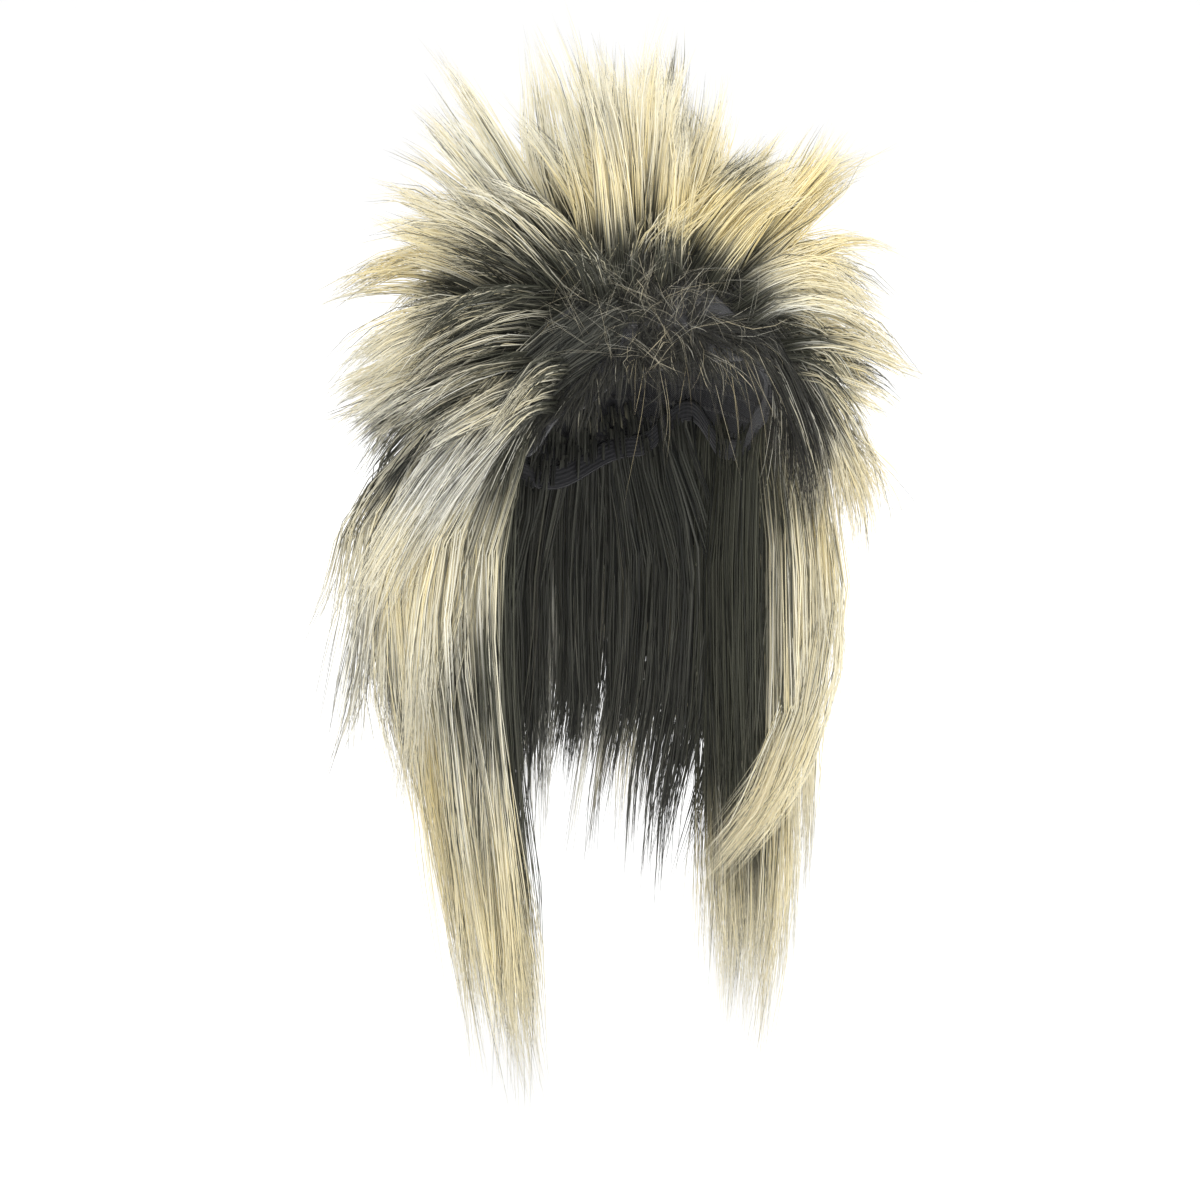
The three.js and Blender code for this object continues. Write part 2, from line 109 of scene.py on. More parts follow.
def head_point(angle, drop, offset):
    """A place on the head: angle 0 is the face and grows to the wearer's left."""
    angle, drop = np.broadcast_arrays(angle, drop)
    level = np.minimum(drop / head_rise, 1)
    ring = np.sqrt(1 - (1 - level) ** 2)
    tuck = nape_tuck * np.maximum(drop / head_rise - 1, 0) * (1 - np.cos(angle))
    place = np.stack([(head_half_width * ring - 0.2 * tuck) * np.sin(angle),
                      -(head_half_depth * ring - tuck) * np.cos(angle),
                      -drop], -1)
    return place + head_normal(angle, drop) * np.asarray(offset)[..., None]


def drop_of(turn):
    """Drop below the top after a turn down the curve of the head."""
    turn = np.asarray(turn, float)
    return np.where(turn < math.pi / 2, head_rise * (1 - np.cos(np.minimum(turn, math.pi / 2))),
                    head_rise * (1 + turn - math.pi / 2))


def turn_of(drop):
    level = np.asarray(drop, float) / head_rise
    return np.where(level < 1, np.arccos(1 - np.minimum(level, 1)), math.pi / 2 + level - 1)


class Value:
    """A number from one node's output: sums with it add the math nodes that work them out."""

    def __init__(self, finish, socket):
        self.finish = finish
        self.socket = socket

    def sum_of(self, operation, *numbers):
        return self.finish.node("ShaderNodeMath", {"operation": operation}, list(numbers))

    def __add__(self, other):
        return self.sum_of("ADD", self, other)

    def __radd__(self, other):
        return self.sum_of("ADD", other, self)

    def __sub__(self, other):
        return self.sum_of("SUBTRACT", self, other)

    def __rsub__(self, other):
        return self.sum_of("SUBTRACT", other, self)

    def __mul__(self, other):
        return self.sum_of("MULTIPLY", self, other)

    def __rmul__(self, other):
        return self.sum_of("MULTIPLY", other, self)

    def wave(self):
        return self.sum_of("SINE", self)

    def size(self):
        return self.sum_of("ABSOLUTE", self)

    def step(self, low, high):
        """0 below low and 1 above high, eased in between."""
        return self.finish.node("ShaderNodeMapRange", {"interpolation_type": "SMOOTHSTEP"},
                                {"Value": self, "From Min": low, "From Max": high}, "Result")


# Sockets of the Mix node that take and give colours
mix_share, mix_low, mix_high, mix_colour = 0, 6, 7, 2


class Finish:
    """A material of one surface, whose nodes are added one at a time."""

    def __init__(self, name, **constants):
        self.material = bpy.data.materials.new(name)
        self.material.use_nodes = True
        self.tree = self.material.node_tree
        self.surface = self.tree.nodes["Principled BSDF"]
        for socket, constant in constants.items():
            self.surface.inputs[socket.replace("_", " ")].default_value = constant

    def node(self, kind, settings, inputs, output=0):
        made = self.tree.nodes.new(kind)
        for name, setting in settings.items():
            setattr(made, name, setting)
        for name, given in inputs.items() if isinstance(inputs, dict) else enumerate(inputs):
            self.feed(made.inputs[name], given)
        return Value(self, made.outputs[output])

    def feed(self, socket, given):
        if isinstance(given, Value):
            self.tree.links.new(given.socket, socket)
        else:
            socket.default_value = given

    def mix(self, share, low, high):
        """A colour between two others."""
        return self.node("ShaderNodeMix", {"data_type": "RGBA"},
                         {mix_share: share, mix_low: low, mix_high: high}, mix_colour)

    def noise(self, where, scale, detail):
        return self.node("ShaderNodeTexNoise", {}, {"Vector": where, "Scale": scale, "Detail": detail}, "Fac")

    def bump(self, height, distance):
        return self.node("ShaderNodeBump", {}, {"Height": height, "Distance": distance, "Strength": 1.0})

    def cloth_ways(self):
        """The way round and the way down a skin in metres, from its map."""
        cloth = self.node("ShaderNodeUVMap", {"uv_map": "cloth"}, {})
        ways = self.node("ShaderNodeSeparateXYZ", {}, [cloth]).socket.node.outputs
        return Value(self, ways["X"]), Value(self, ways["Y"])

    def show(self, **sockets):
        for socket, given in sockets.items():
            self.feed(self.surface.inputs[socket.replace("_", " ")], given)
        return self.material


def piece(name, mesh, finish, body, slot, *nodes):
    """Puts a mesh in the scene as one piece that rides a body and stands for CAD nodes."""
    made = bpy.data.objects.new(name, mesh)
    bpy.context.scene.collection.objects.link(made)
    mesh.materials.clear()
    mesh.materials.append(finish)
    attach(made, body)
    if nodes:
        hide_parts(*nodes)
    return made


def skin_of(name, place, columns, rows):
    """A smooth skin: a grid of create_grid laid over a form, with its seam and its pole closed.
    Its map holds the way round and the way down in metres."""
    shape = bmesh.new()
    bmesh.ops.create_grid(shape, x_segments=columns, y_segments=rows, size=0.5)
    layer = shape.loops.layers.uv.new("cloth")
    flat = {}
    for corner in shape.verts:
        flat[corner] = (corner.co.x + 0.5, corner.co.y + 0.5)
        corner.co = Vector(place(*flat[corner])[0])
    for face in shape.faces:
        face.smooth = True
        for loop in face.loops:
            loop[layer].uv = place(*flat[loop.vert])[1]
    bmesh.ops.remove_doubles(shape, verts=shape.verts, dist=1e-5)
    bmesh.ops.dissolve_degenerate(shape, edges=shape.edges, dist=1e-6)
    bmesh.ops.recalc_face_normals(shape, faces=shape.faces)
    mesh = bpy.data.meshes.new(name)
    shape.to_mesh(mesh)
    shape.free()
    return mesh


def cap_place(round_share, down_share):
    angle = 2 * math.pi * round_share
    turn = turn_of(rim_drop(angle)) * down_share
    drop = drop_of(turn)
    place = head_point(angle, drop, 0.0)
    return place, (round_share * math.tau * cap_radius, float(turn) * head_rise)


cap_mesh = skin_of("cap", cap_place, columns=112, rows=40)
net = Finish("stretch net", Roughness=0.85, Sheen_Weight=0.25)
way_round, way_down = net.cloth_ways()
diagonal = math.tau / net_pitch
threads = ((way_round + way_down) * diagonal).wave().size().step(0.55, 0.95) \
    + ((way_round - way_down) * diagonal).wave().size().step(0.55, 0.95)
weft = (way_down * (math.pi / weft_spacing)).wave().size().step(0.93, 0.98)
stitch_sway = (way_down * (math.tau / stitch_wave)).wave()
stitch = (way_round * (math.tau / stitch_length) + stitch_sway).wave().step(0.0, 0.6)
net_hole = (0.006, 0.006, 0.008, 1)
net_thread = (0.03, 0.031, 0.036, 1)
weft_black = (0.022, 0.021, 0.022, 1)
stitch_grey = (0.07, 0.068, 0.064, 1)
net_colour = net.mix(weft, net.mix(threads * 0.5, net_hole, net_thread), weft_black)
net_colour = net.mix(weft * stitch * 0.8, net_colour, stitch_grey)
net.show(Base_Color=net_colour,
         Normal=net.bump(threads * 0.4 + weft + weft * stitch * 0.5, 0.5 * mm))
cap = piece("cap_net", cap_mesh, net.material, "root", "cap_net", "cap")
wall = cap.modifiers.new("wall", "SOLIDIFY")
wall.thickness = cap_wall
wall.offset = 1.0


# Edge band
# The band is a soft elastic tape, woven with ribs along it, sewn inside the rim of the cap
# so that it holds the wig to the head.

band_wall = 1.4 * mm
clearance = 0.35 * mm
rib_pitch = 1.2 * mm
pick_pitch = 0.9 * mm
tape_black = (0.008, 0.008, 0.01, 1)
tape_grey = (0.04, 0.04, 0.045, 1)


def band_place(round_share, turn_share):
    angle = 2 * math.pi * round_share
    turn = 2 * math.pi * turn_share
    rim = float(rim_drop(angle))
    middle = rim - band_width * 0.5
    half = band_width * 0.5 - 0.2 * mm
    down = middle + half * math.copysign(min(1.0, abs(math.cos(turn)) * 1.25), math.cos(turn))
    inward = clearance + band_wall * (0.5 + 0.5 * max(-1.0, min(1.0, math.sin(turn) * 1.4)))
    place = head_point(angle, down, -inward)
    return place, (round_share * math.tau * cap_radius, turn_share * 2 * band_width)


band_mesh = skin_of("edge band", band_place, columns=150, rows=14)
tape = Finish("elastic tape", Roughness=0.75, Sheen_Weight=0.3)
way_round, way_down = tape.cloth_ways()
ribs = (way_down * (math.tau / rib_pitch)).wave() * 0.5 + 0.5
picks = (way_round * (math.tau / pick_pitch)).wave() * 0.5 + 0.5
tape.show(Base_Color=tape.mix(ribs * 0.6 + picks * 0.4, tape_black, tape_grey),
          Normal=tape.bump(ribs + picks * 0.6, 0.25 * mm))
piece("edge_tape", band_mesh, tape.material, "root", "elastic", "edge_band")


# Short hair on top
# The short hair is synthetic fibre with charcoal roots and blond or silver tips. It springs from
# a whorl above the hairline, fans out over the cap in tufts and ends in soft points.

whorl = np.array([-2, -83, -29]) * mm
whorl_end = np.array([-44, -62, -26]) * mm
whorl_spread = 38 * mm
short_length = 122 * mm
fibre_width = 0.8 * mm
short_locks = 118
low_locks = 26
tufts_per_lock = 3
strands_per_tuft = 6
fibres_per_strand = 9
lock_points = 13
golden_turn = 2.39996
head_ease = 25 * mm
hair_middle = np.array([0, 10, -50]) * mm

# Line where the short hair ends: degrees from the face, drop as a share of head_rise
layer_angles = (0, 40, 70, 120, 180)
layer_drops = (0.35, 0.46, 0.7, 0.78, 0.74)

# Where the hair is light or dark at the front, in soft patches. Their middle and reach are
# in pixels of a picture 1200 wide. light is 0 charcoal and 1 frosted, warm is 0 silver and 1 blond
picture_width = 1200
patch_columns = ("px", "py", "reach", "light", "warm")
patches = (
    (390, 260, 55, 1, 0.9), (345, 330, 45, 0.8, 0.45), (450, 150, 70, 0.75, 0.25),
    (530, 150, 45, 1, 0.1), (600, 210, 45, 1, 0.9), (560, 80, 60, 0.85, 0.5),
    (650, 110, 60, 0.85, 0.55), (705, 230, 30, 1, 1), (600, 300, 40, 0.15, 0.3),
    (690, 120, 22, 0.2, 0.4), (745, 170, 18, 0.15, 0.4), (800, 200, 60, 1, 1),
    (860, 265, 45, 0.95, 0.8), (900, 320, 50, 0.75, 0.5), (860, 360, 40, 0.5, 0.4),
    (820, 430, 42, 0.12, 0.2), (910, 420, 40, 0.8, 0.6), (520, 240, 38, 0.3, 0.4),
    (470, 300, 50, 0.35, 0.4), (670, 310, 55, 0.05, 0.2), (440, 380, 45, 0.36, 0.4),
    (500, 300, 40, 0.15, 0.3), (560, 322, 45, 0.15, 0.3), (455, 290, 26, 0.12, 0.3),
    (520, 372, 45, 0.3, 0.3), (440, 402, 32, 0.25, 0.2), (505, 600, 28, 0.05, 0.2),
    (490, 650, 30, 0.1, 0.2), (505, 765, 30, 0.1, 0.2), (455, 835, 22, 0.05, 0.2),
    (462, 705, 30, 0.12, 0.2), (448, 640, 22, 0.15, 0.2), (388, 708, 18, 0.15, 0.2),
    (586, 125, 24, 0.1, 0.3), (425, 308, 24, 0.15, 0.3), (545, 275, 42, 0.12, 0.3),
    (620, 290, 40, 0.1, 0.3), (513, 352, 45, 0.34, 0.3), (857, 300, 45, 0.9, 0.5),
    (813, 350, 35, 0.35, 0.4), (373, 352, 40, 0.9, 0.4), (380, 460, 40, 0.15, 0.2),
    (345, 430, 30, 0.6, 0.3), (340, 545, 30, 0.35, 0.2), (560, 450, 60, 0.3, 0.4),
    (455, 480, 55, 0.62, 0.1), (480, 590, 42, 1, 0.4), (380, 560, 45, 0.95, 0.85),
    (430, 620, 40, 1, 0.2), (345, 650, 40, 0.6, 0.3), (500, 690, 45, 0.12, 0.2),
    (400, 740, 50, 0.85, 0.4), (400, 830, 58, 1, 0.9), (470, 850, 26, 0.1, 0.2),
    (510, 900, 52, 1, 0.6), (500, 1000, 80, 1, 0.8), (790, 480, 38, 0.08, 0.2),
    (855, 480, 42, 1, 0.9), (862, 540, 30, 1, 0.9), (760, 560, 35, 0.35, 0.3),
    (820, 620, 45, 0.8, 0.3), (770, 700, 35, 0.4, 0.3), (830, 690, 35, 0.95, 0.3),
    (700, 740, 55, 0.08, 0.2), (780, 800, 45, 1, 0.95), (730, 880, 40, 1, 0.85),
    (765, 950, 45, 0.9, 0.6), (740, 1040, 50, 0.95, 0.35),
)
patches = [dict(zip(patch_columns, row)) for row in patches]
pixel = 0.53 * mm
picture_middle = (620, 240)
sight_right = np.array([0.866, -0.5, 0.0])
sight_up = np.array([0.1378, 0.2387, 0.9613])
sight_back = np.array([-0.4806, -0.8325, 0.2756])


def from_whorl(places):
    """The way from the line of the whorl to some places."""
    line = whorl_end - whorl
    share = np.clip((places - whorl) @ line / (line @ line), 0, 1)
    return places - whorl - share[:, None] * line


def along_cap(way, normal):
    """Ways laid flat on the cap, one long."""
    way = way - normal * (way * normal).sum(1, keepdims=True)
    return way / (np.linalg.norm(way, axis=1, keepdims=True) + 1e-6)


def smooth(value, low, high):
    share = np.clip((value - low) / (high - low), 0, 1)
    return share * share * (3 - 2 * share)


def blotches(places, seed, size):
    """Soft uneven patches between -1 and 1 over space."""
    draw = np.random.default_rng(seed)
    total = 0
    for _ in range(4):
        turn = draw.normal(size=3)
        turn *= math.tau / (size * np.linalg.norm(turn))
        total = total + np.sin(places @ turn + draw.uniform(0, math.tau))
    return total / 2.4


def frosting(places, light, warm, seed, facing):
    """How light and how warm the hair is at some places: the patches of the front and blotches elsewhere."""
    px = picture_middle[0] + places @ sight_right / pixel
    py = picture_middle[1] - places @ sight_up / pixel
    own = np.full_like(px, 0.3)
    light = (light + 0.36 * blotches(places, seed, 0.08)) * own
    warm = (warm + 0.45 * blotches(places, seed + 1, 0.11)) * own
    total = own
    for patch in patches:
        near = facing * np.exp(-((px - patch["px"]) ** 2 + (py - patch["py"]) ** 2) / patch["reach"] ** 2)
        light = light + near * patch["light"]
        warm = warm + near * patch["warm"]
        total = total + near
    return np.clip(light / total, 0, 1), np.clip(warm / total, 0, 1)


def along(paths, shares):
    """Points at shares of the way along each path."""
    steps = paths.shape[1] - 1
    place = np.clip(shares, 0, 1) * steps
    low = np.minimum(place.astype(int), steps - 1)
    rest = (place - low)[..., None]
    index = np.arange(len(paths))[:, None]
    return paths[index, low] * (1 - rest) + paths[index, low + 1] * rest


def spread(guides, count, draw, steps, reach, close, length, curl, loose=0.0, crowd=1.0):
    """Makes count paths round each guide. They start within reach of it, and at its tip they have drawn
    in to the share called close. The share called loose strays from it instead. length is the shortest
    and the longest share of the guide, and crowd above 1 puts more steps at the root."""
    total = len(guides) * count
    home = np.repeat(np.arange(len(guides)), count)
    full = draw.uniform(*length, size=(total, 1))
    shares = np.linspace(0, 1, steps)[None, :] ** crowd * full
    paths = along(guides[home], shares)
    way = draw.normal(size=(total, 3))
    way *= (draw.uniform(0.1, 1, (total, 1)) ** 0.6) / np.linalg.norm(way, axis=1, keepdims=True)
    run = (np.linspace(0, 1, steps) ** crowd)[None, :, None]
    stray = (draw.uniform(size=(total, 1, 1)) < loose) * draw.uniform(0.5, 2, (total, 1, 1))
    paths = paths + way[:, None, :] * reach * (1 - (1 - close) * run ** 1.2 + stray * run ** 1.5)
    turn = draw.normal(size=(total, 3))
    turn /= np.linalg.norm(turn, axis=1, keepdims=True)
    swing = np.sin(run * draw.uniform(2, 5, (total, 1, 1)) + draw.uniform(0, math.tau, (total, 1, 1)))
    return paths + turn[:, None, :] * swing * curl * run, home


# Width of a fibre next to its point, as a share of its width, and the edge left free in a tile of its map
tip_width = 0.08
tile_edge = 0.04


def fibres(name, paths, width, frost, draw):
    """One mesh of closed three-sided fibres that taper to a point, thousands at a time. frost has a light,
    a warmth and a shade for each step of a fibre, and the attribute's fourth number is the way along it."""
    count, rings = paths.shape[0], paths.shape[1] - 1
    ahead = np.gradient(paths, axis=1)[:, :rings]
    ahead /= np.linalg.norm(ahead, axis=2, keepdims=True) + 1e-12
    chord = paths[:, -1] - paths[:, 0]
    side = np.cross(chord, draw.normal(size=(count, 3)))
    side = np.cross(np.broadcast_to(side[:, None], ahead.shape), ahead)
    side /= np.linalg.norm(side, axis=2, keepdims=True) + 1e-12
    other = np.cross(ahead, side)
    run = np.cumsum(np.linalg.norm(np.diff(paths, axis=1, prepend=paths[:, :1]), axis=2), axis=1)
    run /= run[:, -1:]
    taper = (1 - run[:, :rings] ** 2.4) * (1 - tip_width) + tip_width
    half = (0.5 * width[:, None] * taper)[..., None]
    corners = []
    for turn in (0, math.tau / 3, 2 * math.tau / 3):
        corners.append(paths[:, :rings] + half * (math.cos(turn) * side + math.sin(turn) * other))
    verts = np.concatenate([np.stack(corners, 2).reshape(count, rings * 3, 3), paths[:, -1:]], 1)
    per = rings * 3 + 1
    tip = rings * 3
    faces = [(2, 1, 0)]
    for ring in range(rings - 1):
        for k in range(3):
            a, b = ring * 3 + k, ring * 3 + (k + 1) % 3
            faces.append((a, b, b + 3, a + 3))
    last = (rings - 1) * 3
    faces += [(last + k, last + (k + 1) % 3, tip) for k in range(3)]
    loops = np.array([c for face in faces for c in face])
    sizes = np.array([len(face) for face in faces])
    starts = np.concatenate([[0], np.cumsum(sizes)[:-1]])
    mesh = bpy.data.meshes.new(name)
    mesh.vertices.add(count * per)
    mesh.vertices.foreach_set("co", verts.astype(np.float32).ravel())
    mesh.loops.add(count * len(loops))
    mesh.loops.foreach_set("vertex_index", (loops[None] + np.arange(count)[:, None] * per).ravel())
    mesh.polygons.add(count * len(faces))
    mesh.polygons.foreach_set("loop_start", (starts[None] + np.arange(count)[:, None] * len(loops)).ravel())
    mesh.update(calc_edges=True)
    mesh.polygons.foreach_set("use_smooth", np.ones(count * len(faces), bool))
    colour = np.ones((count, per, 4), np.float32)
    colour[:, :tip, :3] = np.repeat(frost[:, :rings], 3, axis=1)
    colour[:, tip, :3] = frost[:, rings]
    colour[:, :tip, 3] = np.repeat(run[:, :rings], 3, axis=1)
    mesh.color_attributes.new("frost", "FLOAT_COLOR", "POINT").data.foreach_set("color", colour.ravel())
    # One tile of the maps for each fibre: its three sides lie next to each other, root to tip
    columns = math.ceil(math.sqrt(count))
    tile = np.zeros((len(loops), 2))
    for start, face in zip(starts, faces):
        for k, corner in enumerate(face):
            if len(face) == 3 and tip not in face:
                tile[start + k] = (0.05 + 0.1 * k, 0.02 * (k == 1))
                continue
            strip = face[0] % 3
            right = corner % 3 != face[0] % 3 if corner != tip else 0.5
            tile[start + k] = ((strip + 0.1 + 0.8 * right) / 3,
                               tile_edge + (1 - 2 * tile_edge) * min(corner // 3, rings) / rings)
    index = np.arange(count)
    base = np.stack([index % columns, index // columns], 1)[:, None, :]
    mesh.uv_layers.new(name="OFBake").data.foreach_set(
        "uv", ((base + tile_edge + (1 - 2 * tile_edge) * tile[None]) / columns).astype(np.float32).ravel())
    own = np.stack([index * 0.731, index * 0.377], 1)[:, None, :]
    mesh.uv_layers.new(name="strand").data.foreach_set("uv", (own + tile[None]).astype(np.float32).ravel())
    mesh.validate()
    return mesh


pale_streak = (0.16, 0.155, 0.125, 1)
dull_streak = (0.36, 0.33, 0.24, 1)


def hair_finish(name, dark, olive, silver, blond, tips):
    """Fibre that is dark at its root and frosted from there on, silver or blond, and pale at its tip.
    Fine streaks run along it, as a strand is made of thinner fibres that aren't all alike."""
    # Each fibre also glows a little in its own colour: a painted glow that stands in for light scattered
    # through the fibres and lifts the shade inside the hair.
    hair = Finish(name, Roughness=0.42, Specular_IOR_Level=0.12, Emission_Strength=0.15)
    frost = hair.node("ShaderNodeAttribute", {"attribute_name": "frost"}, {}, "Color")
    way_along = Value(hair, frost.socket.node.outputs["Alpha"])
    parts = hair.node("ShaderNodeSeparateColor", {}, [frost])
    light, warm, shade = (Value(hair, parts.socket.node.outputs[k]) for k in range(3))
    strand = hair.node("ShaderNodeUVMap", {"uv_map": "strand"}, {})
    fine = hair.node("ShaderNodeVectorMath", {"operation": "MULTIPLY"}, [strand, (15.0, 1.7, 1.0)])
    streak = hair.noise(fine, 1.0, 1.0) - 0.5
    low = hair.mix(shade, dark, olive)
    low = hair.mix((streak * 3.0).step(0.1, 1.0) * 0.5, low, pale_streak)
    high = hair.mix(warm, silver, blond)
    high = hair.mix(way_along.step(0.65, 1.0) * 0.4, high, tips)
    high = hair.mix((streak * -2.4).step(0.0, 1.0) * 0.5, high, dull_streak)
    # Each fibre is dark at its root and lightens over its first third: partly its charcoal root, partly
    # painted shade deep in the hair.
    lit = (light + streak * 0.6).step(0.1, 0.86) * way_along.step(0.0, 0.36)
    colour = hair.mix(lit, low, high)
    # The colour feeds the painted glow as well as the base colour.
    hair.show(Base_Color=colour, Emission_Color=colour)
    return hair.material


def frosted(paths, home, light, warm, seed, facing, draw):
    """Light, warmth and shade along each fibre: in a light patch most fibres are light, in a dark one
    few are. Fibres of one tuft tend to be alike."""
    count = len(paths)
    light, warm = frosting(paths, light, warm, seed, facing)
    tufts = draw.uniform(size=home.max() + 1)
    limit = 0.27 + 0.46 * smooth(0.5 * tufts[home] + 0.5 * draw.uniform(size=count), 0.15, 0.85)
    lit = smooth(light - limit[:, None], -0.3, 0.24) * draw.uniform(0.86, 1.0, (count, 1))
    odd = draw.uniform(size=(count, 1)) < 0.09
    lit = np.where(odd, 0.25 + 0.4 * (1 - lit), np.maximum(lit, draw.uniform(0, 0.16, (count, 1))))
    tone = np.clip(warm + 0.16 * draw.normal(size=(count, 1)), 0, 1)
    shade = np.repeat(draw.uniform(0, 1, (count, 1)), paths.shape[1], 1)
    return np.stack([lit, tone, shade], -1).astype(np.float32)


def dark_root_and_depth_shade(paths, least, until):
    """How much of its light a fibre keeps along its way: the least at its root, all of it from until on. The
    dark root is partly the fibre's own charcoal and partly painted shade that makes the hair look darker deep
    inside.
    """
    return least + (1 - least) * smooth(np.linspace(0, 1, paths.shape[1]), 0.0, until)


def layer_drop(angle):
    return head_rise * eased(from_face(angle), layer_angles, layer_drops)


# Outline of the short hair from the front: degrees from the right of the picture upwards, reach in mm
outline_middle = sight_up * -26 * mm
outline_degrees = (0, 20, 35, 44, 54, 74, 96, 114, 131, 155, 170, 187, 205, 225, 245, 300, 315, 329,
                   344, 360)
outline_reaches = (192, 186, 176, 118, 138, 152, 166, 158, 162, 165, 172, 184, 196, 168, 70, 60, 150, 205,
                   196, 192)

# Lengths of the layers that the short hair is cut in, as shares of the way to the outline
layer_shares = (0.6, 0.78, 0.9, 1.0, 1.0, 1.0)


def short_paths(count, draw):
    """Guides of the short hair, spread evenly over the cap down to the layer line, and how close
    to the whorl each of them is, 0 to 1."""
    number = np.arange(count)
    angle = (number * golden_turn + 0.25 * draw.normal(size=count)) % math.tau
    line = layer_drop(angle)
    top = 1 - np.cos(turn_of(line))
    share_area = (number + 0.5) / count
    turn = np.arccos(1 - share_area * top)
    front = (from_face(angle) < 42) & (turn > 0.72 * turn_of(line))
    angle, line, turn = angle[~front], line[~front], turn[~front]
    count = len(angle)
    drop = drop_of(turn)
    share = turn / turn_of(line)
    root = head_point(angle, drop, cap_wall)
    normal = head_normal(angle, drop)
    away = from_whorl(root)
    reach = np.linalg.norm(away, axis=1, keepdims=True)
    flat = np.exp(-(reach / whorl_spread) ** 2)
    away = along_cap(away, normal)
    side = np.cross(normal, away)
    low = share[:, None] ** 2
    below = smooth(-away[:, 2:], 0.1, 0.7) * smooth(-root[:, 1:2], 0.02, 0.06)
    length = short_length * (1 + 0.08 * draw.normal(size=(count, 1)).clip(-1.8, 1.3))
    length = length * (1 - 0.25 * flat - 0.08 * low)
    length = length * (1 - 0.75 * below * smooth(root[:, :1], -0.05, -0.02))
    lift = 0.86 - 0.14 * low - 0.5 * flat + 0.09 * draw.normal(size=(count, 1))
    sweep = 0.34 - 0.1 * low + 0.3 * flat + 0.12 * draw.normal(size=(count, 1))
    twist = 0.14 * draw.normal(size=(count, 1))
    fall = (0.06 + 0.86 * share ** 2.4 + 0.08 * draw.normal(size=count))[:, None]
    beside = smooth(np.abs(root[:, :1]), 0.0, 0.05)
    fall = fall * beside + 0.1 * (1 - beside) + 0.4 * smooth(root[:, 1:2], -0.01, 0.06) * low
    run = np.linspace(0, 1, lock_points)[None, :, None]
    paths = root[:, None] + length[:, None] * (
        normal[:, None] * lift[:, None] * (1.15 * run - 0.15 * run ** 2)
        + away[:, None] * sweep[:, None] * (0.4 * run + 0.6 * run ** 2)
        + side[:, None] * twist[:, None] * run ** 2)
    paths[:, :, 2] -= length * fall * run[..., 0] ** 2
    # At the front they lie back over the head and don't stand out over the face
    forward = np.minimum(paths[:, :, 1] - root[:, None, 1], 0)
    paths[:, :, 1] -= forward * 0.62 * smooth(-root[:, 1:2], 0.02, 0.05)
    # Tufts that end at the outline are made as long as it asks for
    reach = paths[:, -1] - outline_middle
    across, up = reach @ sight_right, reach @ sight_up
    asked = eased(np.degrees(np.arctan2(up, across)) % 360, outline_degrees, outline_reaches)
    asked = asked * mm * (1 + 0.05 * draw.normal(size=count))
    longer = np.clip(asked / np.hypot(across, up), 0.5, 1.42) - 1
    aside = smooth(np.hypot(across, up) / np.linalg.norm(reach, axis=1), 0.6, 0.95)
    layer = draw.choice(layer_shares, count) * draw.uniform(0.94, 1.03, count)
    paths = root[:, None] + (paths - root[:, None]) * ((1 + longer * aside) * layer)[:, None, None]
    # None of them falls over the face
    ahead = paths[:, -1] - root
    from_down = np.degrees(np.arctan2(ahead @ sight_right, -(ahead @ sight_up)))
    kept = (root[:, 1] > -0.03) | (from_down < -52) | (from_down > 44)
    return paths[kept], flat[kept, 0]


def off_the_head(paths, lowest):
    """Moves what would lie inside the head out to the cap's outer face, down to a lowest level."""
    upper = np.maximum(paths[..., 2] + head_rise, 0.0)
    form = np.concatenate([paths[..., :2], upper[..., None]], -1)
    outer = np.array([head_half_width, head_half_depth, head_rise]) + cap_wall
    size = np.maximum(np.linalg.norm(form / outer, axis=-1), 0.3)
    out = np.maximum(1.01 / size - 1, 0.0) * smooth(paths[..., 2], lowest, lowest + head_ease)
    return paths + form * out[..., None]


def low_paths(count, draw):
    """Guides along the layer line at both sides and behind, which puff out over the long hair."""
    angle = np.radians(np.linspace(62, 150, count // 2))
    angle = np.concatenate([angle, -angle]) + 0.05 * draw.normal(size=count)
    root = head_point(angle, layer_drop(angle) - 4 * mm * draw.uniform(0, 1, count), cap_wall)
    heading = head_normal(angle, layer_drop(angle)) + 0.1 * draw.normal(size=root.shape)
    heading[:, 2] -= draw.uniform(0.0, 0.25, count)
    length = np.where(angle > 0, 88, 94) * mm * draw.uniform(0.7, 1.05, count)
    heading /= np.linalg.norm(heading, axis=1, keepdims=True)
    fall = np.array([0, 0, -0.42])
    run = np.linspace(0, 1, lock_points)[None, :, None]
    return root[:, None] + length[:, None, None] * (heading[:, None] * run + fall * run ** 2)


draw = np.random.default_rng(11)
locks, flat = short_paths(short_locks, draw)
locks = np.concatenate([locks, low_paths(low_locks, draw)])
flat = np.append(flat, np.zeros(low_locks))
guides, lock_home = spread(locks, tufts_per_lock, draw, steps=lock_points,
                           reach=15 * mm, close=1.2, length=(0.8, 1.05), curl=7 * mm)
middles = along(guides, np.full((len(guides), 1), 0.75))[:, 0]
tufts, tuft_home = spread(guides, strands_per_tuft, draw, steps=9,
                          reach=9 * mm, close=0.75, length=(0.82, 1.04), curl=4 * mm)
paths, home = spread(tufts, fibres_per_strand, draw, steps=5,
                     reach=4 * mm, close=0.6, length=(0.72, 1.03), curl=4 * mm, loose=0.08)
paths = off_the_head(paths, -0.17)
facing = smooth((paths - hair_middle) @ sight_back, -0.04, 0.02)
near_whorl = flat[lock_home[tuft_home[home]]][:, None]
frost = frosted(paths, home, light=0.74 - 0.62 * near_whorl, warm=0.5, seed=3, facing=facing, draw=draw)
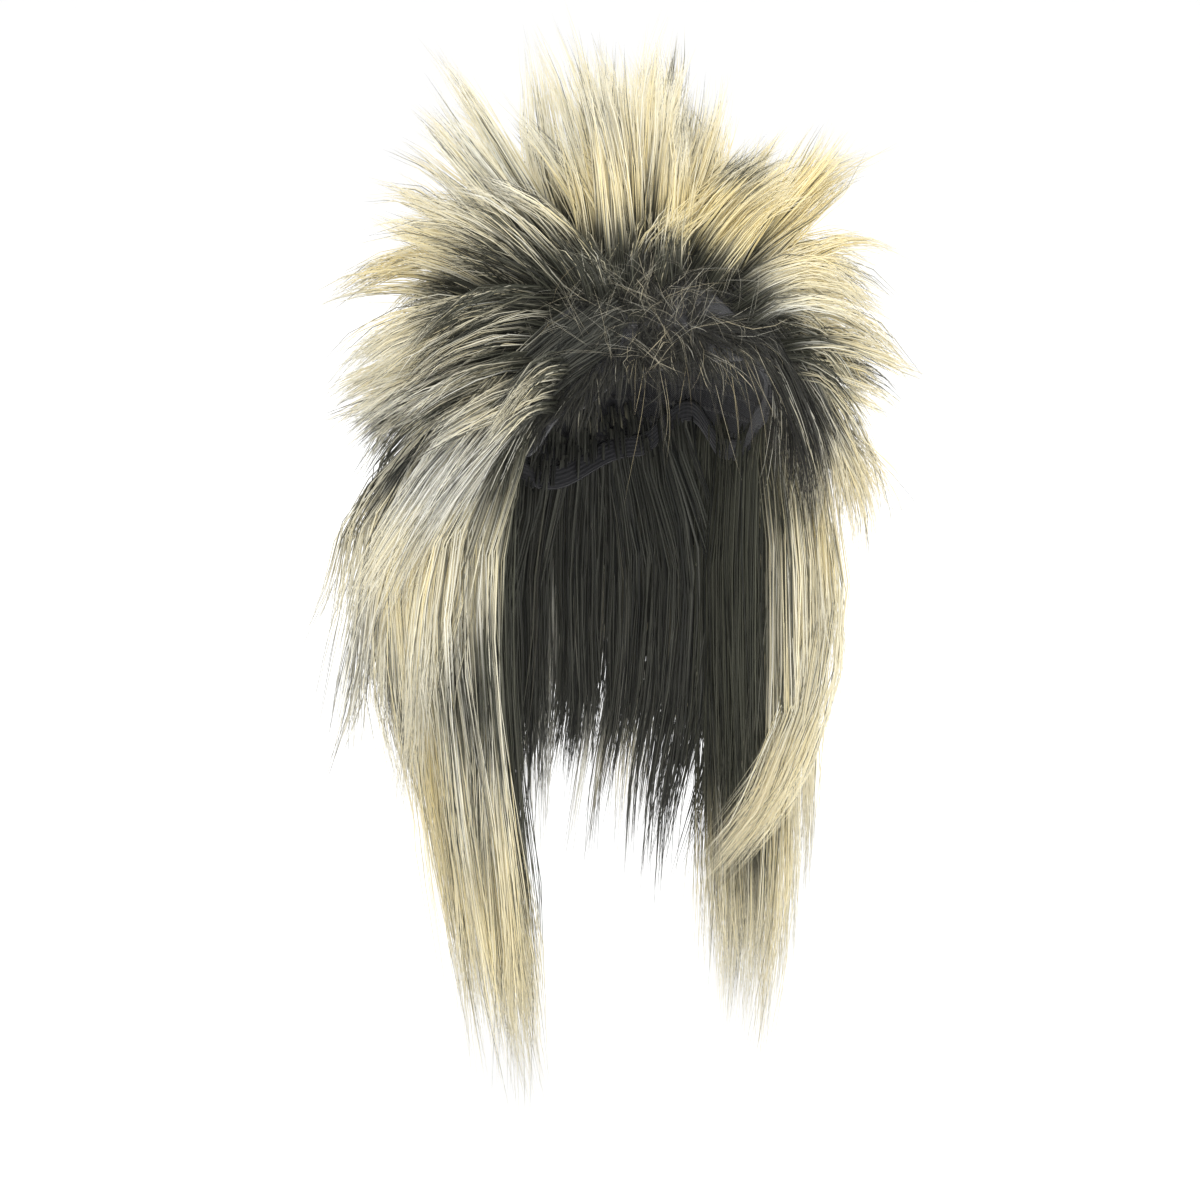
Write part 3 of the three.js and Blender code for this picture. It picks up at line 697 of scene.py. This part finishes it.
# Darker roots: partly the fibre's charcoal, partly painted shade deep in the hair.
frost[:, :, 0] *= dark_root_and_depth_shade(paths, 0.4, 0.6)
width = fibre_width * draw.uniform(0.7, 1.15, len(paths))
frosted_hair = hair_finish(
    "frosted fibre", dark=(0.018, 0.019, 0.017, 1), olive=(0.085, 0.086, 0.064, 1),
    silver=(0.75, 0.74, 0.66, 1), blond=(0.79, 0.67, 0.35, 1), tips=(0.86, 0.83, 0.71, 1))
tuft_side = middles[tuft_home[home], 0]
low_third, high_third = np.quantile(tuft_side, (1 / 3, 2 / 3))
for name, kept in (("short_hair_right", tuft_side < low_third),
                   ("short_hair_middle", (tuft_side >= low_third) & (tuft_side <= high_third)),
                   ("short_hair_left", tuft_side > high_third)):
    mesh = fibres(name, paths[kept], width[kept], frost[kept], draw)
    piece(name, mesh, frosted_hair, "root", "frosted_hair", "crown_hair")


# Hair along the hairline
# Short charcoal fibres are tied in along the front rim and lie flat over it and round the whorl.
# A few thin wisps fall from them over the forehead, and fine strays cross each other at the whorl.

hairline_guides = 190
hairline_length = 21 * mm
cover_guides = 90
cover_spread = 13 * mm
stray_guides = 190
stray_length = 44 * mm
wisp_length = 82 * mm
wisp_half_span = 42 * mm
wisp_width = 0.24 * mm

# Wisps: place is a share of the half span, length of the wisp length, lean is to the wearer's left
wisp_columns = ("place", "length", "lean")
wisps = (
    (-0.85, 1.0, -0.3), (-0.66, 0.8, -0.22), (-0.45, 0.95, -0.16), (-0.22, 0.7, -0.08), (0.02, 1.05, 0.0),
    (0.22, 0.75, 0.1), (0.45, 0.9, 0.04), (0.66, 0.72, 0.16), (0.85, 1.0, 0.1))
wisps = [dict(zip(wisp_columns, row)) for row in wisps]


def bent(root, heading, length, fall, arc=None):
    """Paths of nine points that leave their roots along a heading and fall away from it, with a bow
    to one side if wanted."""
    heading = heading / np.linalg.norm(heading, axis=1, keepdims=True)
    run = np.linspace(0, 1, 9)[None, :, None]
    paths = root[:, None] + heading[:, None] * length[:, None, None] * run
    if arc is not None:
        paths = paths + arc[:, None] * length[:, None, None] * (run * (1 - run) * 4)
    paths[:, :, 2] -= (fall * length)[:, None] * run[0, :, 0][None] ** 2
    return paths


draw = np.random.default_rng(23)
angle = draw.uniform(-1.15, 1.15, hairline_guides)
rim = rim_drop(angle)
drop = rim - draw.uniform(0.03, 0.32, hairline_guides) * head_rise * 0.6
root = head_point(angle, drop, cap_wall + 1 * mm)
normal = head_normal(angle, drop)
away = along_cap(from_whorl(root), normal)
heading = away + np.array([0, 0, -0.3]) + 0.22 * normal + 0.25 * draw.normal(size=root.shape)
length = hairline_length * draw.uniform(0.6, 1.25, hairline_guides)
hairline, _ = spread(bent(root, heading, length, fall=0.1), 9, draw, steps=5,
                     reach=4 * mm, close=0.5, length=(0.6, 1.0), curl=1.5 * mm)

# Round the whorl the fibre lies low and covers the net, short in front of it and long behind it
line_share = draw.uniform(-0.15, 1.15, cover_guides)[:, None]
near = whorl + line_share * (whorl_end - whorl) + cover_spread * draw.normal(size=(cover_guides, 3))
angle = np.arctan2(near[:, 0] / head_half_width, -near[:, 1] / head_half_depth)
drop = np.clip(-near[:, 2], 10 * mm, 0.5 * head_rise)
root = head_point(angle, drop, cap_wall + 1 * mm)
normal = head_normal(angle, drop)
away = along_cap(from_whorl(root), normal)
heading = away + 0.16 * normal + 0.35 * np.cross(normal, draw.normal(size=root.shape))
length = np.where(away[:, 2] < -0.2, 26 * mm, 62 * mm) * draw.uniform(0.7, 1.15, cover_guides)
arc = 0.2 * np.cross(normal, away) * draw.normal(size=(cover_guides, 1))
cover, _ = spread(bent(root, heading, length, fall=0.05, arc=arc), 12, draw, steps=5,
                  reach=7 * mm, close=1.0, length=(0.55, 1.0), curl=6 * mm, loose=0.3)
cover = off_the_head(cover, -0.17)

angle = np.arctan2(whorl[0], -whorl[1]) + draw.normal(-0.35, 0.45, stray_guides)
drop = np.clip(0.36 * head_rise + 11 * mm * draw.normal(size=stray_guides), 8 * mm, 0.5 * head_rise)
root = head_point(angle, drop, cap_wall + 4 * mm)
normal = head_normal(angle, drop)
way = np.cross(normal, draw.normal(size=root.shape))
way /= np.linalg.norm(way, axis=1, keepdims=True)
length = stray_length * draw.uniform(0.5, 1.2, stray_guides)
strays = bent(root, way + 0.45 * normal, length, fall=0.05, arc=0.15 * normal)
strays, _ = spread(strays, 3, draw, steps=5,
                   reach=3 * mm, close=0.9, length=(0.6, 1.0), curl=4 * mm)

# Wisps leave the rim forwards and down
place = np.array([wisp["place"] for wisp in wisps]) + 0.05 * draw.normal(size=len(wisps))
angle = np.arcsin(np.clip(place, -0.98, 0.98) * wisp_half_span / head_half_width)
root = head_point(angle, rim_drop(angle) - 8 * mm, cap_wall + 3 * mm)
heading = np.array([(wisp["lean"], -0.42, -0.85) for wisp in wisps])
heading = heading + 0.06 * draw.normal(size=heading.shape)
length = wisp_length * np.array([wisp["length"] for wisp in wisps]) * draw.uniform(0.8, 1.05, len(wisps))
falling, _ = spread(bent(root, heading, length, fall=0.16), 4, draw, steps=8,
                    reach=4 * mm, close=0.8, length=(0.4, 1.0), curl=5 * mm, loose=0.3)

charcoal = (0.014, 0.014, 0.015, 1)
charcoal_olive = (0.055, 0.054, 0.044, 1)
dark_hair = hair_finish(
    "charcoal fibre", dark=charcoal, olive=charcoal_olive,
    silver=(0.42, 0.41, 0.35, 1), blond=(0.50, 0.42, 0.25, 1), tips=(0.55, 0.50, 0.38, 1))


def even_frost(paths, light, warm, lit, draw):
    """Light, warmth and shade of fibres that are alike, but for the share called lit, which are lighter."""
    count = len(paths)
    bright = np.where(draw.uniform(size=count) < lit, draw.uniform(0.5, 1, count), light)
    tone = np.clip(warm + 0.2 * draw.normal(size=count), 0, 1)
    frost = np.stack([bright, tone, draw.uniform(0, 1, count)], 1)
    return np.repeat(frost[:, None], paths.shape[1], 1).astype(np.float32)


width = np.concatenate([
    0.6 * mm * draw.uniform(0.6, 1.1, len(hairline)),
    0.5 * mm * draw.uniform(0.5, 1.1, len(cover)),
    0.17 * mm * draw.uniform(0.7, 1.1, len(strays))])
frost = np.concatenate([
    even_frost(hairline, light=0.04, warm=0.4, lit=0.02, draw=draw),
    even_frost(cover, light=0.05, warm=0.4, lit=0.1, draw=draw),
    even_frost(strays, light=0.1, warm=0.3, lit=0.4, draw=draw)])
hairline_mesh = fibres("hairline", np.concatenate([hairline, cover, strays]), width, frost, draw)
piece("hairline_fibres", hairline_mesh, dark_hair, "root", "dark_hair", "forehead_wisps")
width = wisp_width * draw.uniform(0.6, 1.0, len(falling))
frost = even_frost(falling, light=0.2, warm=0.8, lit=0.4, draw=draw)
wisp_mesh = fibres("wisps", falling, width, frost, draw)
piece("falling_wisps", wisp_mesh, dark_hair, "root", "dark_hair", "forehead_wisps")


# Temple hair
# Layered fibre is combed from the hairline out over each temple and hangs in pointed locks.
# The wearer's right is silver and cream towards the points, the left is mostly charcoal.

# Locks over a temple: degrees from the face, drop, and how they lean while they fall
temple_angles = (34, 43, 48, 53, 58, 63, 67, 74)
temple_drops = (0.48, 0.52, 0.58, 0.6, 0.68, 0.72, 0.8, 0.9)
temple_lengths = (0.9, 1.0, 0.98, 0.94, 0.92, 0.9, 0.9, 0.86)
temple_out = (0.28, 0.36, 0.42, 0.5, 0.52, 0.6, 0.66, 0.72)
temple_back = (0.2, 0.2, 0.2, 0.16, 0.14, 0.08, 0.04, 0.0)

# The two temples differ. out and back are added to the way that the locks leave the hairline, down is
# how steeply they leave it, and fall is how far they drop on their way, as a share of their length
temple_columns = ("side", "name", "node", "length", "out", "back", "down", "fall", "slot", "light", "warm")
temple_guides = 40
temple_fibre = 0.72 * mm


def temple_paths(temple, draw):
    side = temple["side"]
    degrees = draw.uniform(temple_angles[0], temple_angles[-1], temple_guides)
    above = 0.26 * draw.uniform(0, 1, temple_guides)
    drop = head_rise * (eased(degrees, temple_angles, temple_drops) - above)
    root = head_point(side * np.radians(degrees), drop, cap_wall + 3 * mm)
    heading = np.stack([side * (eased(degrees, temple_angles, temple_out) + temple["out"]),
                        eased(degrees, temple_angles, temple_back) + temple["back"],
                        np.full(temple_guides, -temple["down"])], 1)
    heading = heading + 0.07 * draw.normal(size=heading.shape)
    length = temple["length"] * eased(degrees, temple_angles, temple_lengths)
    length = length * draw.uniform(0.72, 1.06, temple_guides)
    arc = np.tile([side * 0.1, -0.05, 0.0], (temple_guides, 1))
    return bent(root, heading, length, temple["fall"], arc=arc)


silver_hair = hair_finish(
    "silver fibre", dark=(0.02, 0.021, 0.02, 1), olive=(0.085, 0.086, 0.072, 1),
    silver=(0.75, 0.745, 0.69, 1), blond=(0.80, 0.71, 0.45, 1), tips=(0.87, 0.85, 0.76, 1))
streaked_hair = hair_finish(
    "charcoal fibre with light streaks", dark=charcoal, olive=charcoal_olive,
    silver=(0.68, 0.67, 0.60, 1), blond=(0.78, 0.66, 0.36, 1), tips=(0.84, 0.81, 0.70, 1))
temple_finishes = {"silver_hair": silver_hair, "dark_hair": streaked_hair}
temples = (
    (-1, "right_temple_locks", "right_temple_hair", 154 * mm, -0.02, 0.26, 0.5, 0.58,
     "silver_hair", 0.62, 0.35),
    (1, "left_temple_locks", "left_temple_hair", 158 * mm, 0.0, 0.0, 0.9, 0.1,
     "dark_hair", 0.12, 0.3),
)
for row in temples:
    temple = dict(zip(temple_columns, row))
    name, slot = temple["name"], temple["slot"]
    draw = np.random.default_rng(31 + temple["side"])
    guides = temple_paths(temple, draw)
    tufts, tuft_home = spread(guides, 4, draw, steps=9,
                              reach=9 * mm, close=0.6, length=(0.8, 1.02), curl=5 * mm)
    paths, home = spread(tufts, 9, draw, steps=7,
                         reach=4 * mm, close=0.5, length=(0.7, 1.02), curl=5 * mm, loose=0.12)
    paths = off_the_head(paths, -0.17)
    frost = frosted(paths, tuft_home[home], temple["light"], temple["warm"], seed=5, facing=1.0, draw=draw)
    # Darker roots: partly the fibre's charcoal, partly painted shade deep in the hair.
    frost[:, :, 0] *= dark_root_and_depth_shade(paths, 0.3, 0.5)
    width = temple_fibre * draw.uniform(0.7, 1.15, len(paths))
    mesh = fibres(name, paths, width, frost, draw)
    piece(name, mesh, temple_finishes[slot], "root", slot, temple["node"])


# Long hair at the sides
# Long layered fibre is sewn to the cap over each ear and hangs in front of the shoulder.
# The outer layers are shorter and frosted, the fibre next to the neck is charcoal.

side_top = -62 * mm
side_half_thickness = 28 * mm
side_half_width = 42 * mm
side_guides = 64
side_fibre = 0.85 * mm
side_settle = 75 * mm
side_flick = 14 * mm
curl_guides = 11

# Sections from the top down: shares of the length, of the head's half width and half depth, of the
# forward reach, and of the section's own half thickness and half width
side_downs = (0, 0.12, 0.34, 0.56, 0.76, 0.9, 1.0)
side_outs = (1.1, 1.25, 1.31, 1.29, 1.22, 1.12, 1.0)
side_backs = (0.11, 0.11, 0.1, 0.06, 0.0, 0.0, 0.0)
side_aheads = (0, 0, 0.05, 0.3, 0.65, 0.9, 1.0)
side_thicks = (0.4, 0.8, 1.0, 0.94, 0.84, 0.74, 0.62)
side_wides = (0.7, 0.86, 0.9, 0.88, 0.82, 0.72, 0.6)

# Places (x, y, z) in mm along a lock of the wearer's left that curls forward over the chest
curl_places = ((88, -4, -80), (112, -4, -140), (128, -5, -214), (113, -20, -259), (80, -42, -303),
               (48, -50, -332), (22, -51, -350))

# Layers that the hair is cut in, as shares of its length: short outside and long inside
outer_tiers = (0.5, 0.56, 0.6, 0.8)
inner_tiers = (0.76, 0.92, 1.0, 1.0)


def side_place(side, full_length, forward, height, outward, across):
    """A place in the hair over an ear: outward and across are -1 to 1 over its section."""
    down = np.clip((side_top - height) / full_length, 0, 1)
    x = head_half_width * eased(down, side_downs, side_outs)
    x = x + side_half_thickness * eased(down, side_downs, side_thicks) * outward
    y = head_half_depth * eased(down, side_downs, side_backs) - forward * eased(down, side_downs, side_aheads)
    y = y + side_half_width * eased(down, side_downs, side_wides) * across
    return np.stack([side * x, y, height], -1)


def weft_roots(angle, share):
    """Roots of long hair, at a share of the way from the layer line to the rim."""
    upper = layer_drop(angle)
    drop = upper + (rim_drop(angle) - upper) * np.clip(share, 0.02, 0.95)
    return head_point(angle, drop, cap_wall + 1 * mm)


def hang(root, ends, place_at, settle):
    """Paths of fifteen points that leave their roots and settle into the form of the hanging hair
    on their way down."""
    run = np.linspace(0, 1, 15)[None]
    height = root[:, 2:3] + (ends[:, None] - root[:, 2:3]) * run
    hung = place_at(height)
    share = smooth(root[:, 2:3] - height, 0.0, settle)[..., None]
    paths = root[:, None] * (1 - share) + hung * share
    paths[:, :, 2] = height
    return paths


def flick(paths, distance, way, draw):
    """Bends the ends of paths out along a way, each by its own part of a distance, and sways them."""
    run = np.linspace(0, 1, paths.shape[1])[None, :, None]
    amount = (distance * draw.uniform(0.2, 1.2, len(paths)))[:, None, None]
    sway = draw.normal(size=(len(paths), 1, 3)) * (1, 1, 0) * 6 * mm
    waves = run * draw.uniform(3, 7, (len(paths), 1, 1))
    wave = np.sin(waves + draw.uniform(0, math.tau, (len(paths), 1, 1)))
    return paths + np.asarray(way) * amount * run ** 4 + sway * wave * run


for side, name, node, full_length, forward in (
        (-1, "right_side_locks", "right_side_hair", 420 * mm, 27 * mm),
        (1, "left_side_locks", "left_side_hair", 434 * mm, 8 * mm)):
    draw = np.random.default_rng(47 + side)
    turn = draw.uniform(0, math.tau, side_guides)
    out = np.sqrt(draw.uniform(0.05, 1, side_guides))
    outward, across = out * np.cos(turn), out * np.sin(turn)
    angle = side * np.radians(92 + 22 * across)
    root = weft_roots(angle, 0.45 - 0.5 * outward + 0.1 * draw.normal(size=side_guides))
    tier = draw.integers(0, 4, side_guides)
    reach = np.where(outward > 0.35, np.choose(tier, outer_tiers), np.choose(tier, inner_tiers))
    reach = np.where((outward < -0.3) & (across > 0), 0.95, reach) * draw.uniform(0.95, 1.0, side_guides)
    ends = side_top - full_length * reach
    flare = np.where(reach < 0.7, 1.12, 1.0) + 0.1 * draw.normal(size=side_guides)
    section = (outward * flare)[:, None], (across * flare)[:, None]
    guides = hang(root, ends, lambda height: side_place(side, full_length, forward, height, *section),
                  side_settle)
    guides = flick(guides, np.where(reach < 0.7, 1.0, 0.35) * side_flick, (side * 0.8, 0.1, 0.0), draw)
    if side > 0:
        lock = along(np.array(curl_places)[None] * mm, np.linspace(0, 1, 15)[None])
        lock = lock + 7 * mm * draw.normal(size=(curl_guides, 1, 3)) * (1, 0.6, 1)
        guides = np.concatenate([guides, lock])
        outward = np.append(outward, np.full(curl_guides, 0.5))
        across = np.append(across, np.full(curl_guides, -0.5))
    tufts, tuft_home = spread(guides, 6, draw, steps=15,
                              reach=9 * mm, close=0.7, length=(0.92, 1.02), curl=6 * mm)
    paths, home = spread(tufts, 6, draw, steps=7,
                         reach=4 * mm, close=0.6, length=(0.86, 1.02), curl=5 * mm, loose=0.08, crowd=1.35)
    paths = off_the_head(paths, -0.12)
    facing = smooth(outward - 0.4 * across, -0.4, 0.2)[tuft_home[home]][:, None]
    outside = np.maximum(facing, smooth(-paths[:, :, 2], 0.34, 0.4))
    frost = frosted(paths, home, light=0.78 * outside, warm=0.5, seed=7 + side, facing=outside, draw=draw)
    frost[:, :, 0] *= 0.2 + 0.8 * outside
    width = side_fibre * draw.uniform(0.7, 1.15, len(paths))
    piece(name, fibres(name, paths, width, frost, draw), frosted_hair, "root", "frosted_hair", node)


# Long hair at the back
# Layered fibre hangs from the wefts between the crown and the nape, full at the shoulders and
# thinner below. It is charcoal inside, next to the neck, and silver outside.

back_top = -66 * mm
back_length = 352 * mm
back_half_width = 146 * mm
back_depth = 160 * mm
back_guides = 146
back_fibre = 1.0 * mm
back_settle = 80 * mm
back_flick = 28 * mm
back_tiers = (0.5, 0.66, 0.84, 1.0)

# Sections from the top down: shares of the length, and of the half width and the depth
back_downs = (0, 0.15, 0.38, 0.6, 0.8, 1.0)
back_inner_wides = (0.5, 0.5, 0.55, 0.52, 0.42, 0.44)
back_inner_deeps = (0.5, 0.56, 0.6, 0.6, 0.62, 0.68)
back_outer_wides = (0.84, 0.97, 1.0, 0.86, 0.68, 0.5)
back_outer_deeps = (0.84, 0.98, 1.0, 0.96, 0.9, 0.78)


def back_place(height, angle, fill):
    """A place in the hair at the back: angle 0 is the nape, fill 0 its inner face and 1 its outer face."""
    down = np.clip((back_top - height) / back_length, 0, 1)
    wide, deep = (
        eased(down, back_downs, inner) * (1 - fill) + eased(down, back_downs, outer) * fill
        for inner, outer in ((back_inner_wides, back_outer_wides), (back_inner_deeps, back_outer_deeps)))
    return np.stack([back_half_width * wide * np.sin(angle), back_depth * deep * np.cos(angle), height], -1)


draw = np.random.default_rng(59)
turn = np.radians(76) * np.linspace(-1, 1, back_guides) + 0.03 * draw.normal(size=back_guides)
fill = draw.uniform(0, 1, back_guides) ** 0.95
angle = math.pi - turn * 0.82
root = weft_roots(angle, 0.92 - 0.85 * fill + 0.05 * draw.normal(size=back_guides))
reach = np.choose(draw.integers(0, 4, back_guides), back_tiers)
reach = np.where(fill < 0.45, np.maximum(reach, 0.84), reach) * draw.uniform(0.94, 1.0, back_guides)
reach = np.where((np.abs(turn) > 1.0) & (fill > 0.5), np.minimum(reach, 0.68), reach)
ends = back_top - back_length * reach
# The short layers keep the form that they have where they pass the shoulders
straight_from = np.where(reach < 0.75, -0.19, -1.0)[:, None]
guides = hang(root, ends, lambda height: back_place(
    np.maximum(height, straight_from), turn[:, None], fill[:, None]), back_settle)
outwards = np.stack([np.sin(turn), np.cos(turn), 0 * turn], 1)[:, None]
guides = flick(guides, np.where(reach < 0.75, 1.0, 0.3) * fill * back_flick, outwards, draw)
tufts, tuft_home = spread(guides, 6, draw, steps=15,
                          reach=11 * mm, close=0.7, length=(0.86, 1.0), curl=4 * mm)
paths, home = spread(tufts, 6, draw, steps=7,
                     reach=5 * mm, close=0.6, length=(0.8, 1.02), curl=4 * mm, loose=0.04, crowd=1.3)
paths = off_the_head(paths, -0.12)
middle_fill = np.median(fill)
outside = smooth(fill, 0.2, 0.7)[tuft_home[home]][:, None]
facing = outside * smooth((paths - hair_middle) @ sight_back, -0.1, -0.02)
frost = frosted(paths, home, light=0.6 * outside, warm=0.4, seed=13, facing=facing, draw=draw)
frost[:, :, 0] *= 0.3 + 0.7 * outside
fill = fill[tuft_home[home]]
width = back_fibre * draw.uniform(0.7, 1.15, len(paths)) * np.where(fill < 0.5, 1.6, 1.0)
outer = fill > middle_fill
for name, kept in (("back_locks_outer", outer), ("back_locks_inner", ~outer)):
    mesh = fibres(name, paths[kept], width[kept], frost[kept], draw)
    piece(name, mesh, silver_hair, "root", "silver_hair", "back_hair")


# Stage
# A plain pale floor and a pale room, with three large soft lights. The camera looks from the wearer's
# right and a little above.

floor_half = 6
floor_gap = 20 * mm
camera_distance = 1.9
sensor_width = 36

floor_mesh = bpy.data.meshes.new("floor")
floor_shape = bmesh.new()
bmesh.ops.create_grid(floor_shape, x_segments=1, y_segments=1, size=floor_half)
bmesh.ops.translate(floor_shape, verts=floor_shape.verts, vec=(0, 0, cad_box[0][2] - floor_gap))
floor_shape.to_mesh(floor_mesh)
floor_shape.free()
floor = bpy.data.objects.new("floor", floor_mesh)
bpy.context.scene.collection.objects.link(floor)
pale = Finish("pale floor", Roughness=0.9, Base_Color=(0.88, 0.88, 0.88, 1))
floor_mesh.materials.append(pale.material)

scene = bpy.context.scene
scene.view_settings.view_transform = "Standard"
room = bpy.data.worlds.new("pale room")
scene.world = room
room.use_nodes = True
room.node_tree.nodes["Background"].inputs["Color"].default_value = (1, 1, 1, 1)
room.node_tree.nodes["Background"].inputs["Strength"].default_value = 1.12

picture_aim = sight_right * -10.6 * mm + sight_up * -191 * mm
camera_place = Vector(picture_aim + sight_back * camera_distance)
lights_aim = Vector((0, 0, -0.15))
lights = (
    ("key light", Vector((-0.9, -1.6, 1.5)), 1.2, 30),
    ("fill light", Vector((1.7, -1.0, 0.6)), 1.2, 13),
    ("back light", Vector((0.3, 1.8, 1.3)), 1.4, 16),
)
for name, place, size, power in lights:
    lamp = bpy.data.lights.new(name, "AREA")
    lamp.size = size
    lamp.energy = power
    shown = bpy.data.objects.new(name, lamp)
    shown.location = place
    shown.rotation_euler = (lights_aim - place).to_track_quat("-Z", "Y").to_euler()
    scene.collection.objects.link(shown)

lens = bpy.data.cameras.new("camera")
lens.sensor_width = sensor_width
lens.lens = sensor_width * camera_distance / (picture_width * pixel)
camera = bpy.data.objects.new("camera", lens)
camera.location = camera_place
camera.rotation_euler = (Vector(picture_aim) - camera_place).to_track_quat("-Z", "Y").to_euler()
scene.collection.objects.link(camera)
scene.camera = camera
